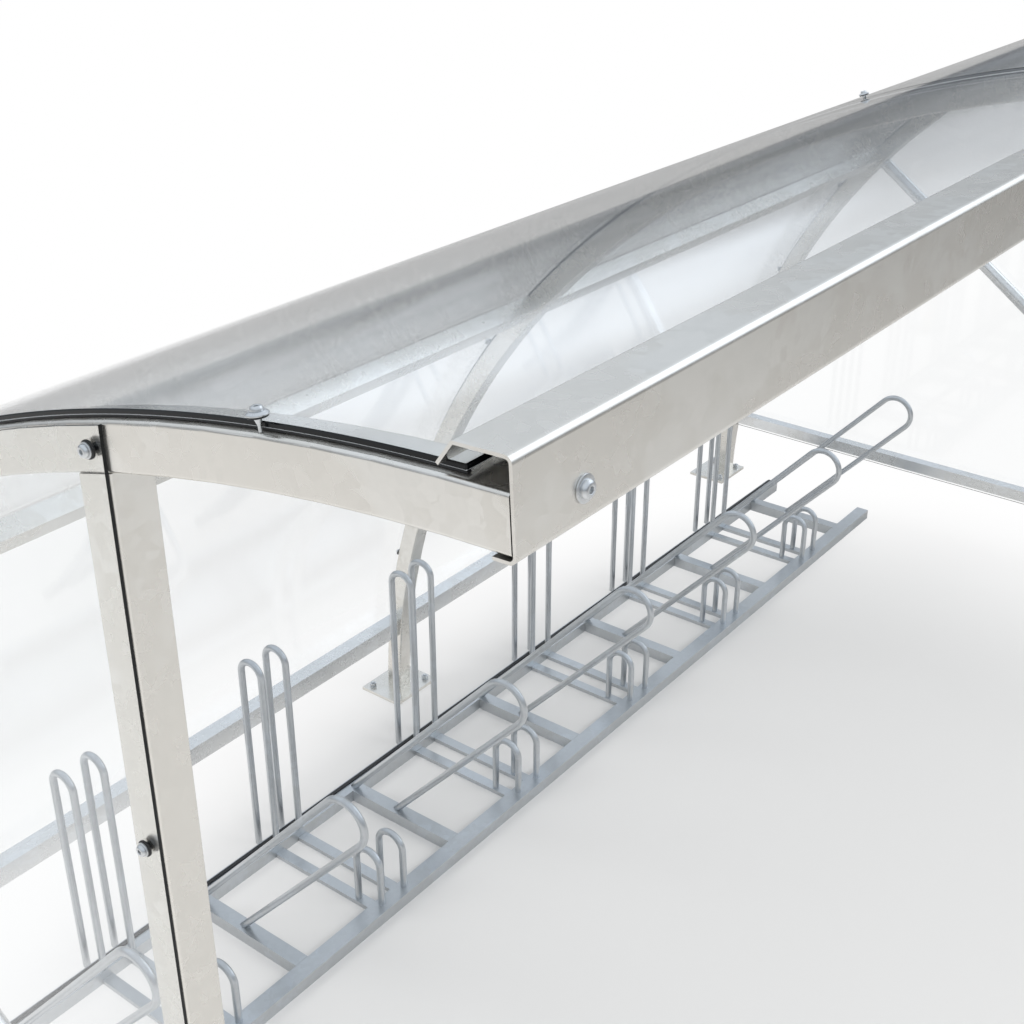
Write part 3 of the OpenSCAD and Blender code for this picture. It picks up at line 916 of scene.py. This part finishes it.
def softStudio(world, look):
    # white to the camera, plain light for matt surfaces, soft level streaks in mirrors
    w = Finish(world, "ShaderNodeOutputWorld")
    direction = w.add("ShaderNodeTexCoord").outputs["Generated"]
    x, y, height = w.parts(direction)
    streaks = w.noise(w.scaled(direction, look["streakStretch"]), look["streakScale"], 3.0)
    rise = height.above(*look["rise"])
    level = look["low"] + (look["high"] - look["low"]) * rise
    level = level + look["streak"] * (streaks - 0.5) * (look["streakWeight"] - rise)
    box = look["frontBox"]
    towards = x * box["towards"][0] + y * box["towards"][1] + height * box["towards"][2]
    level = level + box["light"] * towards.above(*box["cosines"])
    band = look["backBand"]
    behind = (x * band["towards"][0] + y * band["towards"][1]).above(*band["cosines"])
    between = height.above(*band["lower"]) * (1 - height.above(*band["upper"]))
    level = level + band["light"] * between * behind
    tint = w.add("ShaderNodeCombineColor", Red=level * look["red"], Green=level, Blue=level * look["blue"])
    mirrored = w.add("ShaderNodeBackground", Color=tint.outputs[0], Strength=1.0).outputs[0]
    plain = w.add("ShaderNodeBackground", Color=look["plainTint"], Strength=look["plain"]).outputs[0]
    white = w.add("ShaderNodeBackground", Color=(1, 1, 1, 1), Strength=1.0).outputs[0]
    rays = w.add("ShaderNodeLightPath").outputs
    return w.show(w.mix(rays["Is Camera Ray"], w.mix(rays["Is Glossy Ray"], plain, mirrored), white))


lamps = {
    "keyLamp": {"at": (2.5, -5.0, 6.0), "towards": (0, 0, 1), "size": 4, "power": 130},
    "sideLamp": {"at": (-4.8, 4.4, 6.3), "towards": (-1, 0, 1), "size": 3, "power": 120},
    "fillLamp": {"at": (-3.5, -4.5, 5.0), "towards": (0, 0, 1), "size": 3, "power": 90},
}


def lamp(name, look):
    data = bpy.data.lights.new(name, "AREA")
    data.shape = "RECTANGLE"
    data.size = look["size"]
    data.size_y = look["size"]
    data.energy = look["power"]
    piece = bpy.data.objects.new(name, data)
    piece.location = look["at"]
    aim = Vector(look["towards"]) - Vector(look["at"])
    piece.rotation_euler = aim.to_track_quat("-Z", "Y").to_euler()
    piece.visible_glossy = False  # mirrors see the soft studio instead
    bpy.context.scene.collection.objects.link(piece)


cameraLook = {
    "lens": 50,
    "sensor": 36,
    "farthest": 200,  # metres
    "standing": (-694.9, -537.5, 2557.8),  # millimetres, as place() takes them
    "right": (0.61063, -0.79192, 0),
    "up": (0.36202, 0.27914, 0.88939),
    "forward": (0.70433, 0.54309, -0.45714),
}


def standCamera(look):
    data = bpy.data.cameras.new("camera")
    data.lens = look["lens"]
    data.sensor_width = look["sensor"]
    data.clip_end = look["farthest"]
    camera = bpy.data.objects.new("camera", data)
    axes = Matrix((Vector(look["right"]), Vector(look["up"]), -Vector(look["forward"]))).transposed()
    camera.matrix_world = Matrix.Translation(place(*look["standing"])) @ axes.to_4x4()
    bpy.context.scene.collection.objects.link(camera)
    bpy.context.scene.camera = camera


layFloor(floorLook)
bpy.context.scene.world = softStudio(bpy.data.worlds.new("studio"), studioLook)
for name, look in lamps.items():
    lamp(name, look)
standCamera(cameraLook)
bpy.context.scene.view_settings.view_transform = "Standard"
print("stage set")
